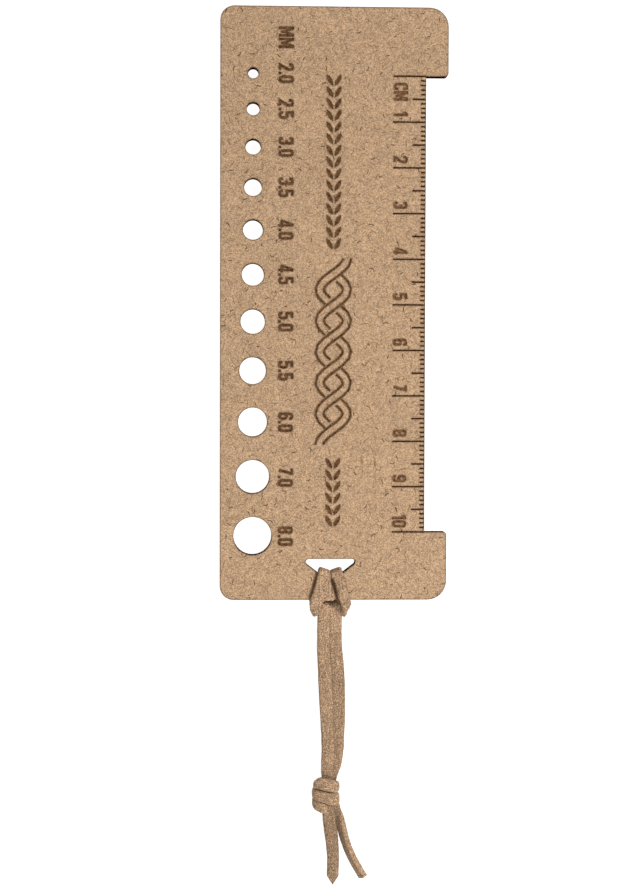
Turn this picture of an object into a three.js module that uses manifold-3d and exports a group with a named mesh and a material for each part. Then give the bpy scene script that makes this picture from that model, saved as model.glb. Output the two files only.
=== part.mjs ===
// A knitting ruler: a laser-cut fibreboard ruler with a row of needle-gauge holes, a 100 mm scale between
// two measuring jaws and a three-cornered slot, and a suede lace that is hitched through the slot.
// It lies on its back. Millimetres; +X runs across the board to the scale, +Y along it away from the lace
// and +Z up out of its reading side. The origin is on the table, under the middle of the board.
import * as THREE from "three";
import { mergeVertices } from "three/addons/utils/BufferGeometryUtils.js";
import Module from "manifold-3d";

const wasm = await Module();
wasm.setup();

// Driving dimensions of the board
const board = { length: 130, width: 50, thickness: 3, holeSideCorner: 3.1, scaleSideCorner: 4.2 };
const scale = { length: 100, recess: 4.9, jawCorner: 0.7 };
const mark = { line: 0.3, depth: 0.25, millimetre: 1.1, fiveMillimetres: 2.95, centimetre: 7.2 };
const gauge = {
  sizes: [2, 2.5, 3, 3.5, 4, 4.5, 5, 5.5, 6, 7, 8],
  play: 0.37,
  inset: 7.2,
  wall: 5.16,
  top: 14.6,
};
const slot = { halfWidth: 6.8, height: 5.2, corner: 0.7, strip: 3.84, offset: -0.62 };

// The figures: each face's capital height, cell width, line and spaces. A baseline is counted from the
// board's left edge, a unit's place from the first hole's middle or from the zero line, and toLine is
// from a figure to the line that it counts.
const sizeText = {
  height: 3.3,
  width: 1.6,
  stroke: 0.53,
  space: 0.24,
  point: 0.56,
  baseline: 12.75,
  unit: 7.8,
};
const scaleText = {
  height: 3.05,
  width: 1.5,
  stroke: 0.48,
  space: 0.28,
  baseline: 38,
  toLine: 1.05,
  unit: 1.5,
};

// The ornament along the board's middle: rows of knit stitches at both ends and a cable twist between them
const ornament = { length: 99.6, along: 0.93, across: -0.15, clearance: 2 };
const stitch = { pitch: 2.55, length: 2.9, width: 0.85, slant: 30, apart: 0.35 };
const cable = { twists: 6, twist: 6.8, reach: 3, strand: 1.8, line: 0.42, along: -10.35 };

// Driving dimensions of the lace, a flat suede strip
const lace = { width: 2.65, thickness: 1.4, corner: 0.35 };
const pinch = { width: 2.45, thickness: 1.3 };
const seatGap = 0.3;
const turnGap = 0.5;
const strandGap = 0.2;
const edgeRise = 0.35;
const neckLength = 5.6;
const hitchReach = 5.9;
const bightReach = 3.7;
const knot = { top: 38.7, length: 8.1, offset: -0.73, halfWidth: 3.1, halfHeight: 2.95, overlap: 0.1 };
const winding = { start: -40, end: 775, pitch: 2.85, band: 2.3, first: 2.15, tuck: 0.3 };

// The lace passes under the lower end of the board and holds it off the table
const endLift = lace.thickness + edgeRise + seatGap;
const tilt = Math.asin(endLift / board.length);

const halfLength = board.length / 2;
const halfWidth = board.width / 2;
const scaleEdge = halfWidth - scale.recess;
const degree = Math.PI / 180;

const fibreboard = new THREE.MeshStandardMaterial({ color: 0xb99b78, roughness: 0.85, metalness: 0 });
const suede = new THREE.MeshStandardMaterial({ color: 0xaa8769, roughness: 1, metalness: 0 });

// A closed geometry as a solid that can be joined and cut, and the other way round

function solidOf(geometry) {
  const bare = new THREE.BufferGeometry().setAttribute("position", geometry.getAttribute("position"));
  if (geometry.index) bare.setIndex(geometry.index);
  const merged = mergeVertices(bare, 1e-4);
  return new wasm.Manifold(
    new wasm.Mesh({
      numProp: 3,
      vertProperties: new Float32Array(merged.attributes.position.array),
      triVerts: new Uint32Array(merged.index.array),
    }),
  );
}

function geometryOf(solid) {
  const mesh = solid.getMesh();
  const geometry = new THREE.BufferGeometry();
  geometry.setAttribute("position", new THREE.BufferAttribute(new Float32Array(mesh.vertProperties), 3));
  geometry.setIndex(new THREE.BufferAttribute(new Uint32Array(mesh.triVerts), 1));
  geometry.computeVertexNormals();
  return geometry;
}

function extruded(shapes, depth, curveSegments) {
  return new THREE.ExtrudeGeometry(shapes, { depth, curveSegments, bevelEnabled: false });
}

// The board

// A path through corners [x, y, radius], each rounded by an arc of its own radius
function roundedPath(path, corners) {
  const at = (i) => corners[(i + corners.length) % corners.length];
  corners.forEach(([x, y, radius], i) => {
    const here = new THREE.Vector2(x, y);
    const before = new THREE.Vector2(...at(i - 1).slice(0, 2)).sub(here).normalize();
    const after = new THREE.Vector2(...at(i + 1).slice(0, 2)).sub(here).normalize();
    const half = Math.acos(THREE.MathUtils.clamp(before.dot(after), -1, 1)) / 2;
    const start = here.clone().addScaledVector(before, radius / Math.tan(half));
    if (i === 0) path.moveTo(start.x, start.y);
    else path.lineTo(start.x, start.y);
    if (radius === 0) return;
    const centre = before.add(after).normalize().multiplyScalar(radius / Math.sin(half)).add(here);
    const end = here.clone().addScaledVector(after, radius / Math.tan(half));
    const clockwise = start.clone().sub(centre).cross(end.clone().sub(centre)) < 0;
    const angle = (p) => Math.atan2(p.y - centre.y, p.x - centre.x);
    path.absarc(centre.x, centre.y, radius, angle(start), angle(end), clockwise);
  });
  path.closePath();
  return path;
}

function boardOutline() {
  const jaw = scale.length / 2;
  return roundedPath(new THREE.Shape(), [
    [-halfWidth, -halfLength, board.holeSideCorner],
    [halfWidth, -halfLength, board.scaleSideCorner],
    [halfWidth, -jaw, scale.jawCorner],
    [scaleEdge, -jaw, 0],
    [scaleEdge, jaw, 0],
    [halfWidth, jaw, scale.jawCorner],
    [halfWidth, halfLength, board.scaleSideCorner],
    [-halfWidth, halfLength, board.holeSideCorner],
  ]);
}

// Each gauge hole's centre and radius; the walls left between neighbouring holes are all alike
function gaugeHoles() {
  const holes = [];
  let y = halfLength - gauge.top;
  gauge.sizes.forEach((size, i) => {
    const radius = (size + gauge.play) / 2;
    if (i > 0) y -= holes[i - 1].radius + gauge.wall + radius;
    holes.push({ size, radius, x: -halfWidth + gauge.inset, y });
  });
  return holes;
}

function circle({ x, y, radius }) {
  return new THREE.Path().absarc(x, y, radius, 0, 2 * Math.PI, true);
}

const slotApex = -halfLength + slot.strip;

function slotPath() {
  const top = slotApex + slot.height;
  return roundedPath(new THREE.Path(), [
    [slot.offset, slotApex, slot.corner],
    [slot.offset - slot.halfWidth, top, slot.corner],
    [slot.offset + slot.halfWidth, top, slot.corner],
  ]);
}

// A shallow cut from above the reading side down to the engraving's floor
function engraved(shapes) {
  const cut = extruded(shapes, 2 * mark.depth, 2);
  return cut.translate(0, 0, board.thickness - mark.depth);
}

// The scale: a line at every millimetre from the top jaw down, longer at 5 and at 10, open at the measuring
// edge. The first and last end at the jaws' inner corners.
function scaleLines() {
  const shapes = [];
  for (let i = 0; i <= scale.length; i++) {
    const reach = i % 10 === 0 ? mark.centimetre : i % 5 === 0 ? mark.fiveMillimetres : mark.millimetre;
    const atJaw = i === 0 || i === scale.length;
    const y = scale.length / 2 - i;
    const right = atJaw ? scaleEdge : scaleEdge + 1;
    const left = scaleEdge - reach;
    const low = y - mark.line / 2;
    const high = y + mark.line / 2;
    const corners = [[left, low], [right, low], [right, high], [left, high]];
    shapes.push(new THREE.Shape(corners.map((corner) => new THREE.Vector2(...corner))));
  }
  return shapes;
}

// Figures drawn in a cell one wide and one high. A stroke's points are its centre line: a third value marks
// a sharp corner, and a closed stroke joins its last point to its first. Figures with pointed corners are
// given by their outline instead.
const sharp = true;
const figures = {
  0: [{ closed: true, points: [[0, 0], [1, 0], [1, 1], [0, 1]] }],
  1: [{ wide: 0.62, outline: [[0.48, 0], [1, 0], [1, 1], [0.5, 1], [0, 0.84], [0, 0.68], [0.48, 0.8]] }],
  2: [{ points: [[0, 0.72], [0, 1], [1, 1], [1, 0.6], [0, 0, sharp], [1, 0]] }],
  3: [
    { points: [[0, 0.76], [0, 1], [1, 1], [1, 0.52], [0.35, 0.52]] },
    { points: [[0.35, 0.52], [1, 0.52], [1, 0], [0, 0], [0, 0.24]] },
  ],
  4: [
    {
      outline: [
        [0.55, 0], [0.85, 0], [0.85, 0.14], [1, 0.14], [1, 0.3], [0.85, 0.3], [0.85, 1], [0.5, 1],
        [0, 0.3], [0, 0.14], [0.55, 0.14],
      ],
      hole: [[0.57, 0.66], [0.57, 0.31], [0.32, 0.31]],
    },
  ],
  5: [{ points: [[0.95, 1], [0, 1, sharp], [0, 0.56, sharp], [1, 0.6], [1, 0], [0, 0], [0, 0.24]] }],
  6: [
    { closed: true, points: [[0, 0], [1, 0], [1, 0.58], [0, 0.58]] },
    { points: [[0, 0.3], [0, 1], [1, 1], [1, 0.8]] },
  ],
  7: [{ points: [[0, 1], [1, 1, sharp], [0.35, 0]] }],
  8: [
    { closed: true, points: [[0, 0], [1, 0], [1, 0.52], [0, 0.52]] },
    { closed: true, points: [[0, 0.52], [1, 0.52], [1, 1], [0, 1]] },
  ],
  9: [
    { closed: true, points: [[0, 0.42], [1, 0.42], [1, 1], [0, 1]] },
    { points: [[1, 0.7], [1, 0], [0, 0], [0, 0.2]] },
  ],
  C: [{ points: [[1, 0.72], [1, 1], [0, 1], [0, 0], [1, 0], [1, 0.28]] }],
  M: [
    {
      wide: 1.36,
      outline: [
        [0, 0], [0.26, 0], [0.26, 0.56], [0.42, 0.14], [0.58, 0.14], [0.74, 0.56], [0.74, 0], [1, 0],
        [1, 1], [0.73, 1], [0.5, 0.52], [0.27, 1], [0, 1],
      ],
    },
  ],
};
const bowlSegments = 2;

// A stroke's centre line with its corners rounded to the bowl radius of the face
function strokeLine(stroke, cellWidth, face) {
  const inner = cellWidth - face.stroke;
  const tall = face.height - face.stroke;
  const points = stroke.points.map(([x, y]) => {
    return new THREE.Vector2(face.stroke / 2 + x * inner, face.stroke / 2 + y * tall);
  });
  const line = [];
  points.forEach((here, i) => {
    const free = !stroke.closed && (i === 0 || i === points.length - 1);
    if (free || stroke.points[i][2]) {
      line.push(here);
      return;
    }
    const before = points[(i + points.length - 1) % points.length];
    const after = points[(i + 1) % points.length];
    const cut = Math.min(inner * 0.48, before.distanceTo(here) * 0.5, after.distanceTo(here) * 0.5);
    const from = here.clone().add(before.clone().sub(here).setLength(cut));
    const to = here.clone().add(after.clone().sub(here).setLength(cut));
    line.push(...new THREE.QuadraticBezierCurve(from, here, to).getPoints(bowlSegments));
  });
  return line;
}

// The two sides of a stroke of the given width, mitred at each point of its centre line
function strokeSides(line, closed, width) {
  const count = line.length;
  const along = (i) => line[(i + 1) % count].clone().sub(line[i % count]).normalize();
  return [1, -1].map((side) => {
    return line.map((here, i) => {
      const into = closed || i > 0 ? along((i + count - 1) % count) : along(i);
      const out = closed || i < count - 1 ? along(i) : into;
      const mean = into.clone().add(out).normalize();
      const normal = new THREE.Vector2(-mean.y, mean.x);
      return here.clone().addScaledVector(normal, ((side * width) / 2) / Math.max(mean.dot(into), 0.5));
    });
  });
}

function strokeShape(stroke, cellWidth, face) {
  if (stroke.outline) {
    const inCell = (corners) => corners.map(([x, y]) => new THREE.Vector2(x * cellWidth, y * face.height));
    const drawn = new THREE.Shape(inCell(stroke.outline));
    if (stroke.hole) drawn.holes.push(new THREE.Path(inCell(stroke.hole)));
    return drawn;
  }
  const line = strokeLine(stroke, cellWidth, face);
  const [left, right] = strokeSides(line, stroke.closed, face.stroke);
  if (!stroke.closed) return new THREE.Shape([...right, ...left.reverse()]);
  const shape = new THREE.Shape(right);
  shape.holes.push(new THREE.Path(left));
  return shape;
}

// A word as stroke shapes in its own frame: the baseline runs along +X from the origin
function wordShapes(text, face) {
  let cursor = 0;
  const parts = [];
  for (const sign of text) {
    const gap = cursor > 0 ? face.space : 0;
    if (sign === ".") {
      const corners = [[0, 0], [face.point, 0], [face.point, face.point], [0, face.point]];
      const dot = new THREE.Shape(corners.map(([x, y]) => new THREE.Vector2(x, y)));
      parts.push({ shape: dot, start: cursor + gap });
      cursor += gap + face.point;
      continue;
    }
    const cellWidth = face.width * (figures[sign][0].wide ?? 1);
    for (const stroke of figures[sign]) {
      parts.push({ shape: strokeShape(stroke, cellWidth, face), start: cursor + gap });
    }
    cursor += gap + cellWidth;
  }
  return { parts, length: cursor };
}

// A word cut into the board, read from the top end down, its letters' feet on the given baseline and
// its first letter at the given height; returns the word's cutters
function wordCutters(text, face, baseline, startOf) {
  const { parts, length } = wordShapes(text, face);
  const start = startOf(length);
  return parts.map(({ shape, start: offset }) => {
    const cut = engraved([shape]);
    cut.translate(offset, 0, 0).rotateZ(-Math.PI / 2).translate(baseline, start, 0);
    return solidOf(cut);
  });
}

// A knit stitch: two leaves that lean apart from its foot
function stitchShapes(foot) {
  const leaf = [[0, 0], [0.3, -0.46], [0.7, -0.46], [1, 0], [0.7, 0.46], [0.3, 0.46]];
  return [-1, 1].map((side) => {
    const along = new THREE.Vector2(side * Math.sin(stitch.slant * degree), Math.cos(stitch.slant * degree));
    const across = new THREE.Vector2(-along.y, along.x);
    const start = new THREE.Vector2(ornament.across + (side * stitch.apart) / 2, foot);
    return new THREE.Shape(leaf.map(([u, v]) => {
      const onAxis = start.clone().addScaledVector(along, u * stitch.length);
      return onAxis.addScaledVector(across, v * stitch.width);
    }));
  });
}

// Stitches in a row from one height to another, as many as fit
function stitchRow(from, to) {
  const rise = stitch.length * Math.cos(stitch.slant * degree);
  const count = Math.floor((to - from - rise) / stitch.pitch) + 1;
  return Array.from({ length: count }, (_, i) => stitchShapes(from + i * stitch.pitch)).flat();
}

// The cable twist: two strands that wind about each other, each drawn by its two edges. Each edge runs
// over one crossing and stops where its strand passes under the next one.
function cableShapes() {
  const steps = 10;
  const run = cable.twists * cable.twist;
  const top = cable.along + run / 2;
  const half = cable.strand / 2;
  const shapes = [];
  for (let i = 0; i < cable.twists; i++) {
    const crossing = (i + 0.5) * cable.twist;
    const from = Math.max(crossing - cable.twist + half, 0);
    const to = Math.min(crossing + cable.twist - half, run);
    const swing = i % 2 === 0 ? cable.reach : -cable.reach;
    for (const edge of [-half, half]) {
      const line = Array.from({ length: steps + 1 }, (_, k) => {
        const along = from + (k / steps) * (to - from);
        const phase = (Math.PI * along) / cable.twist;
        const slope = (-swing * Math.PI * Math.sin(phase)) / cable.twist;
        const here = new THREE.Vector2(ornament.across + swing * Math.cos(phase), top - along);
        return here.add(new THREE.Vector2(1, slope).setLength(edge));
      });
      const [left, right] = strokeSides(line, false, cable.line);
      shapes.push(new THREE.Shape([...right, ...left.reverse()]));
    }
  }
  return shapes;
}

function ornamentCutters() {
  const top = ornament.along + ornament.length / 2;
  const bottom = ornament.along - ornament.length / 2;
  const cableHalf = (cable.twists * cable.twist) / 2 + ornament.clearance;
  const shapes = [
    ...stitchRow(cable.along + cableHalf, top),
    ...cableShapes(),
    ...stitchRow(bottom, cable.along - cableHalf),
  ];
  return shapes.map((shape) => solidOf(engraved([shape])));
}

// How finely the board's round stretches are drawn
const cornerSegments = 4;
const slotSegments = 5;
const holeSides = (size) => 18 + 2 * Math.round(size);

function boardSolid() {
  const outline = boardOutline();
  const holes = gaugeHoles();
  let solid = solidOf(extruded([outline], board.thickness, cornerSegments));
  const through = (path, segments) => {
    const shape = new THREE.Shape(path.getPoints(segments).slice(0, -1));
    return solidOf(extruded([shape], board.thickness + 2, segments).translate(0, 0, -1));
  };
  for (const hole of holes) solid = solid.subtract(through(circle(hole), holeSides(hole.size)));
  solid = solid.subtract(through(slotPath(), slotSegments));
  solid = solid.subtract(solidOf(engraved(scaleLines())));

  const sizeBase = -halfWidth + sizeText.baseline;
  const scaleBase = -halfWidth + scaleText.baseline;
  const zero = scale.length / 2;
  const words = holes.map(({ size, y }) => {
    return wordCutters(size.toFixed(1), sizeText, sizeBase, (length) => y + length / 2);
  });
  words.push(wordCutters("MM", sizeText, sizeBase, (length) => holes[0].y + sizeText.unit + length / 2));
  words.push(wordCutters("CM", scaleText, scaleBase, () => zero - scaleText.unit));
  for (let i = 10; i <= scale.length; i += 10) {
    const line = zero - i;
    const startOf = (length) => line + scaleText.toLine + (Math.max(length, scaleText.width) + length) / 2;
    words.push(wordCutters(`${i / 10}`, scaleText, scaleBase, startOf));
  }
  for (const cutter of [...words.flat(), ...ornamentCutters()]) solid = solid.subtract(cutter);
  return solid;
}

// The lace

// Where a point of the board, seen in the board's own frame, lies over the table
const boardGroup = new THREE.Group();
boardGroup.rotation.x = -tilt;
boardGroup.position.set(0, (-board.thickness / 2) * Math.sin(tilt), halfLength * Math.sin(tilt));
boardGroup.updateMatrixWorld(true);

// A station of a lace: its centre, the direction of its width, and its width and thickness there
function station(x, y, z, widthDirection, width = lace.width, thickness = lace.thickness) {
  const centre = new THREE.Vector3(x, y, z);
  return { centre, across: new THREE.Vector3(...widthDirection), width, thickness };
}

// The same station for a point given in the board's frame
function onBoard(...values) {
  const made = station(...values);
  made.centre.applyMatrix4(boardGroup.matrixWorld);
  made.across.transformDirection(boardGroup.matrixWorld);
  return made;
}

// Sections of a flat lace at even steps along a smooth route through its stations, over the stretch
// between two distances along it
function laceSections(stations, steps, from = 0, to = Infinity) {
  const route = new THREE.CatmullRomCurve3(stations.map((s) => s.centre), false, "centripetal");
  route.arcLengthDivisions = 40 * stations.length;
  const length = route.getLength();
  const end = Math.min(to, length);
  const sections = [];
  for (let i = 0; i <= steps; i++) {
    const along = from + (i / steps) * (end - from);
    const t = route.getUtoTmapping(along / length);
    const place = t * (stations.length - 1);
    const k = Math.min(Math.floor(place), stations.length - 2);
    const smooth = THREE.MathUtils.smoothstep(place - k, 0, 1);
    const [a, b] = [stations[k], stations[k + 1]];
    const tangent = route.getTangent(t);
    const across = a.across.clone().lerp(b.across, smooth);
    across.addScaledVector(tangent, -across.dot(tangent)).normalize();
    sections.push({
      centre: route.getPoint(t),
      tangent,
      across,
      normal: tangent.clone().cross(across),
      width: THREE.MathUtils.lerp(a.width, b.width, smooth),
      thickness: THREE.MathUtils.lerp(a.thickness, b.thickness, smooth),
      along,
    });
  }
  return sections;
}

// The eight corners of a lace's section, a rectangle with its corners cut off
function sectionPoints({ centre, across, normal, width, thickness }) {
  const a = width / 2;
  const b = thickness / 2;
  const c = lace.corner;
  const corners = [
    [a, b - c], [a - c, b], [c - a, b], [-a, b - c],
    [-a, c - b], [c - a, -b], [a - c, -b], [a, c - b],
  ];
  return corners.map(([u, v]) => centre.clone().addScaledVector(across, u).addScaledVector(normal, v));
}

// A lace as one closed body: rings of section points, joined, and a fan over each end
function laceGeometry(sections) {
  const rings = sections.map(sectionPoints);
  const sides = rings[0].length;
  const positions = rings.flat().flatMap((p) => [p.x, p.y, p.z]);
  const index = [];
  for (let i = 0; i < rings.length - 1; i++) {
    for (let j = 0; j < sides; j++) {
      const a = i * sides + j;
      const b = i * sides + ((j + 1) % sides);
      index.push(a, b, b + sides, a, b + sides, a + sides);
    }
  }
  const last = (rings.length - 1) * sides;
  for (let j = 1; j < sides - 1; j++) {
    index.push(0, j + 1, j);
    index.push(last, last + j, last + j + 1);
  }
  const geometry = new THREE.BufferGeometry();
  geometry.setAttribute("position", new THREE.Float32BufferAttribute(positions, 3));
  geometry.setIndex(index);
  return solidOf(geometry).volume() < 0 ? turnedOut(geometry) : geometry;
}

function turnedOut(geometry) {
  const index = geometry.index.array;
  for (let i = 0; i < index.length; i += 3) [index[i], index[i + 1]] = [index[i + 1], index[i]];
  return geometry;
}

// The least gap between parts of a lace that are further apart along it than the given length
function leastGap(sections, apart) {
  let least = Infinity;
  const outlines = sections.map((s) => {
    const outline = sectionPoints(s);
    const middles = outline.map((p, i) => p.clone().lerp(outline[(i + 1) % outline.length], 0.5));
    return [...outline, ...middles];
  });
  sections.forEach((one, i) => {
    for (let j = i + 1; j < sections.length; j++) {
      if (sections[j].along - one.along < apart) continue;
      if (sections[j].centre.distanceTo(one.centre) > 5) continue;
      for (const p of outlines[i]) for (const q of outlines[j]) least = Math.min(least, p.distanceTo(q));
    }
  });
  return least;
}

// The hitch, a reverse lark's head, as one unbroken lace. Each half comes from a strand over the bight,
// runs under the board, up through the slot, down its face as a strap, folds over the lower edge and
// turns behind the strands as one side of the bight. Points are in the board's frame, x from the slot's
// middle, and side is -1 for the left half and 1 for the right.
const table = (y) => -(halfLength - y) * Math.tan(tilt);
const strandSpread = (pinch.width + turnGap) / 2;

function hitchHalf(side, strap) {
  const edge = -halfLength;
  const under = lace.thickness / 2;
  const over = pinch.thickness + turnGap + lace.thickness / 2;
  const face = board.thickness + seatGap + lace.thickness / 2;
  const passage = slotApex + strap.passage;
  const bight = edge - bightReach;
  const flat = [side, 0, 0];
  const slant = [side * Math.cos(strap.slant * degree), Math.sin(strap.slant * degree), 0];
  const lean = [side * 0.97, 0.24, 0];
  const at = (x, y, z, across, width, thickness) => {
    return onBoard(slot.offset + side * x, y, z, across, width, thickness);
  };
  const w = pinch.width;
  const t = pinch.thickness;
  return [
    at(strandSpread, edge - hitchReach, table(edge - hitchReach) + over - 0.2, flat, w),
    at(strandSpread, edge - 4.7, table(edge) + over, flat, w),
    at(strandSpread, edge - 3.5, table(edge) + over, flat, w),
    at(strandSpread, edge - 2.1, table(edge) + over - 0.42, flat, w),
    at(strandSpread, edge - 0.8, table(edge) + under + 0.5, flat, w),
    at(strandSpread, edge + 0.7, table(edge) + under + 0.1, flat, w),
    at(strandSpread, edge + 2.4, table(edge) + under, flat, w, t),
    at(strap.inSlot, passage - 1.45, table(passage) + under + 0.05, flat, w, t),
    at(strap.inSlot, passage - 0.35, table(passage) + under + 0.75, slant, w, t),
    at(strap.inSlot, passage, 0.2, slant, w, t),
    at(strap.inSlot, passage, board.thickness - 0.3, slant, w, t),
    at(strap.inSlot, passage - 0.4, face - 0.35, slant, w, t),
    at(strap.top, passage - 1.5, face + 0.05, lean, w, t),
    at((strap.top + strap.bottom) / 2, passage - 3.6, face, lean, (w + strap.width) / 2),
    at(strap.bottom, edge + 0.9, face, lean, strap.width),
    at(strap.bottom + 0.45, edge - 0.6, face - 0.25, [side * 0.88, 0.47, -0.05], strap.width),
    at(3.55, edge - 1.55, face - 1.15, [side * 0.62, 0.75, -0.2], w),
    at(3.9, edge - 2.2, face - 2.4, [side * 0.3, 0.95, 0], w, t),
    at(4, edge - 2.65, 0.3, [side * 0.15, 0.98, 0], w, t),
    at(3.75, edge - 3.2, table(bight) + t / 2 + 0.65, [0, 1, 0], w, t),
    at(2.7, bight, table(bight) + t / 2 + 0.03, [0, 1, 0], w, t),
    at(1.2, bight, table(bight) + t / 2, [0, 1, 0], w, t),
  ];
}

function hitchSections() {
  const left = { slant: 25, passage: 2.72, inSlot: 1.62, top: 1.6, bottom: 1.75, width: 3.2 };
  const right = { slant: 25, passage: 2.72, inSlot: 1.62, top: 1.75, bottom: 2.85, width: pinch.width };
  return laceSections([...hitchHalf(-1, left), ...hitchHalf(1, right).reverse()], steps.hitch);
}

// The free strands and tails lie on the table. A row is [x, y, z, turn, width]: x is counted from the slot's
// middle and y from the board's lower edge, and turn is how far the lace is rolled on its own length, in
// degrees. The strands run side by side, and near the knot the right one slips under the left one.
const tableLevel = lace.thickness / 2 + 0.02;
const besideSpread = (lace.width + strandGap) / 2;
const hitchExit = [-hitchReach - seatGap, pinch.thickness + turnGap + lace.thickness / 2 - 0.25];
const strandEnd = seatGap - knot.top;
const tailStart = -knot.top - knot.length - seatGap;

function strandRows(side) {
  const stacked = knot.halfHeight - (side * (lace.thickness + seatGap)) / 2;
  const beside = [
    [0, -8.4, 1.75],
    [0.03, -11, 1.05],
    [0.09, -15, tableLevel],
    [0.35, -18, tableLevel],
    [0.5, -23, tableLevel],
  ];
  const over = [
    [-0.7, -27.5, 0.9, 2],
    [-0.5, -31, 1.75, 4],
    [-0.43, -33.9, 3.05, 4],
    [-0.58, -36.4, stacked - 0.07, 2],
    [-0.68, strandEnd, stacked, 0],
  ];
  const under = [
    [2.04, -27.5, tableLevel, 0],
    [2.12, -30.5, tableLevel, -2],
    [1.8, -33.5, 0.85, -4],
    [1.1, -35.8, 1.6, -2],
    [0.62, -37.4, stacked - 0.05, 0],
    [0.38, strandEnd, stacked, 0],
  ];
  return [
    [side * strandSpread, hitchExit[0], hitchExit[1], 0, pinch.width],
    ...beside.map(([middle, y, z]) => [middle + side * besideSpread, y, z, 0]),
    ...(side < 0 ? over : under),
  ];
}

const stackUp = knot.halfHeight + (lace.thickness + seatGap) / 2;
const stackDown = knot.halfHeight - (lace.thickness + seatGap) / 2;
const onEdge = lace.width / 2 + 0.075;
const leftTail = [
  [-0.43, tailStart, stackUp, 0],
  [-0.23, -48.6, 3.4, 0],
  [0.12, -50.6, 2.5, 0],
  [0.47, -53, 1.25, 0],
  [0.64, -55.6, 0.8, 0],
  [0.72, -58.5, tableLevel, 0],
  [0.66, -61.5, tableLevel, 0],
  [0.58, -64.5, tableLevel, 0],
];
const rightTail = [
  [0.32, tailStart, stackDown, 0],
  [0.42, -47.9, 2, 4],
  [1.22, -49.1, 1.75, 35],
  [2.22, -50.4, 1.5, 70],
  [2.92, -52, onEdge, 78],
  [3.72, -54, onEdge, 80],
  [4.82, -57, onEdge, 80],
  [6.12, -59.3, onEdge, 80],
  [8.2, -62.7, onEdge, 80],
];

function routeStations(rows) {
  return rows.map(([x, y, z, turn, width], i) => {
    const before = rows[Math.max(i - 1, 0)];
    const after = rows[Math.min(i + 1, rows.length - 1)];
    const heading = new THREE.Vector2(after[0] - before[0], after[1] - before[1]).normalize();
    const flat = [-heading.y * Math.cos(turn * degree), heading.x * Math.cos(turn * degree)];
    return station(slot.offset + x, y - halfLength, z, [...flat, Math.sin(turn * degree)], width);
  });
}

// The left tail's end is cut to a point, which is a short edge here
const tip = { length: 2.3, edge: 0.1 };

function pointed(sections) {
  const end = sections.at(-1).along;
  return sections.map((s) => {
    const left = Math.min((end - s.along) / tip.length, 1);
    return { ...s, width: THREE.MathUtils.lerp(2 * lace.corner + tip.edge, s.width, left) };
  });
}

// The knot: the doubled lace as a core, and one lace wound round it from the top to its lower left
function knotSections() {
  const rows = [];
  const turnSteps = 24;
  const reachX = knot.halfWidth - pinch.thickness / 2;
  const reachZ = knot.halfHeight - pinch.thickness / 2;
  const count = Math.round(((winding.end - winding.start) / 360) * turnSteps);
  for (let i = 0; i <= count; i++) {
    const angle = winding.start + (i / count) * (winding.end - winding.start);
    const fromEnd = Math.min(i, count - i) / 4;
    const tuck = 1 - winding.tuck * (1 - Math.min(fromEnd, 1));
    const phase = angle * degree;
    const y = -halfLength - knot.top - winding.first - (winding.pitch * (angle - 90)) / 360;
    const x = slot.offset + knot.offset - reachX * tuck * Math.cos(phase);
    const z = knot.halfHeight + reachZ * tuck * Math.sin(phase);
    rows.push(station(x, y, z, [0, -1, 0], winding.band, pinch.thickness));
  }
  return laceSections(rows, count);
}

function knotSolid(sections) {
  const width = 2 * (knot.halfWidth - pinch.thickness) + 2 * knot.overlap;
  const thickness = 2 * lace.thickness + seatGap;
  const top = -halfLength - knot.top;
  const rows = [top, top - knot.length].map((y) => {
    return station(slot.offset + knot.offset + knot.overlap, y, knot.halfHeight, [1, 0, 0], width, thickness);
  });
  return solidOf(laceGeometry(laceSections(rows, 2))).add(solidOf(laceGeometry(sections)));
}

// The whole ruler

function named(name, geometry, material) {
  const mesh = new THREE.Mesh(geometry, material);
  mesh.name = name;
  return mesh;
}

const ruler = new THREE.Group();
boardGroup.add(named("board", geometryOf(boardSolid()), fibreboard));
ruler.add(boardGroup);

const steps = { hitch: 84, neck: 5, strand: 34, tail: 16 };
const hitch = hitchSections();
ruler.add(named("lace_hitch", laceGeometry(hitch), suede));
console.log(`hitch: least gap to itself ${leastGap(hitch, 6).toFixed(2)} mm`);

const legs = [
  { name: "left", side: -1, tail: pointed(laceSections(routeStations(leftTail), steps.tail)) },
  { name: "right", side: 1, tail: laceSections(routeStations(rightTail), steps.tail) },
];
for (const { name, side, tail } of legs) {
  const route = routeStations(strandRows(side));
  const neck = laceSections(route, steps.neck, 0, neckLength);
  const strand = laceSections(route, steps.strand, neckLength + seatGap);
  ruler.add(named(`lace_neck_${name}`, laceGeometry(neck), suede));
  ruler.add(named(`strand_${name}`, laceGeometry(strand), suede));
  ruler.add(named(`tail_${name}`, laceGeometry(tail), suede));
  const length = strand.at(-1).along + knot.length + tail.at(-1).along;
  console.log(`${name} side of the lace, hitch to tip: ${length.toFixed(1)} mm`);
}

const wound = knotSections();
ruler.add(named("lace_knot", geometryOf(knotSolid(wound)), suede));
console.log(`knot: least gap between turns ${leastGap(wound, 12).toFixed(2)} mm`);

export default ruler;
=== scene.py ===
"""A knitting ruler of laser-cut fibreboard with a suede lace, lying on a white table.

The ruler lies on its back, +Y away from the lace and +Z out of its reading side. The object's lengths are
written in millimetres, and MM turns them into Blender's metres. The table, the lights and the limits of the
camera's sight are in metres.
"""
import math
from collections import namedtuple

import bpy
import numpy as np
from mathutils import Matrix, Vector, noise


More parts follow.
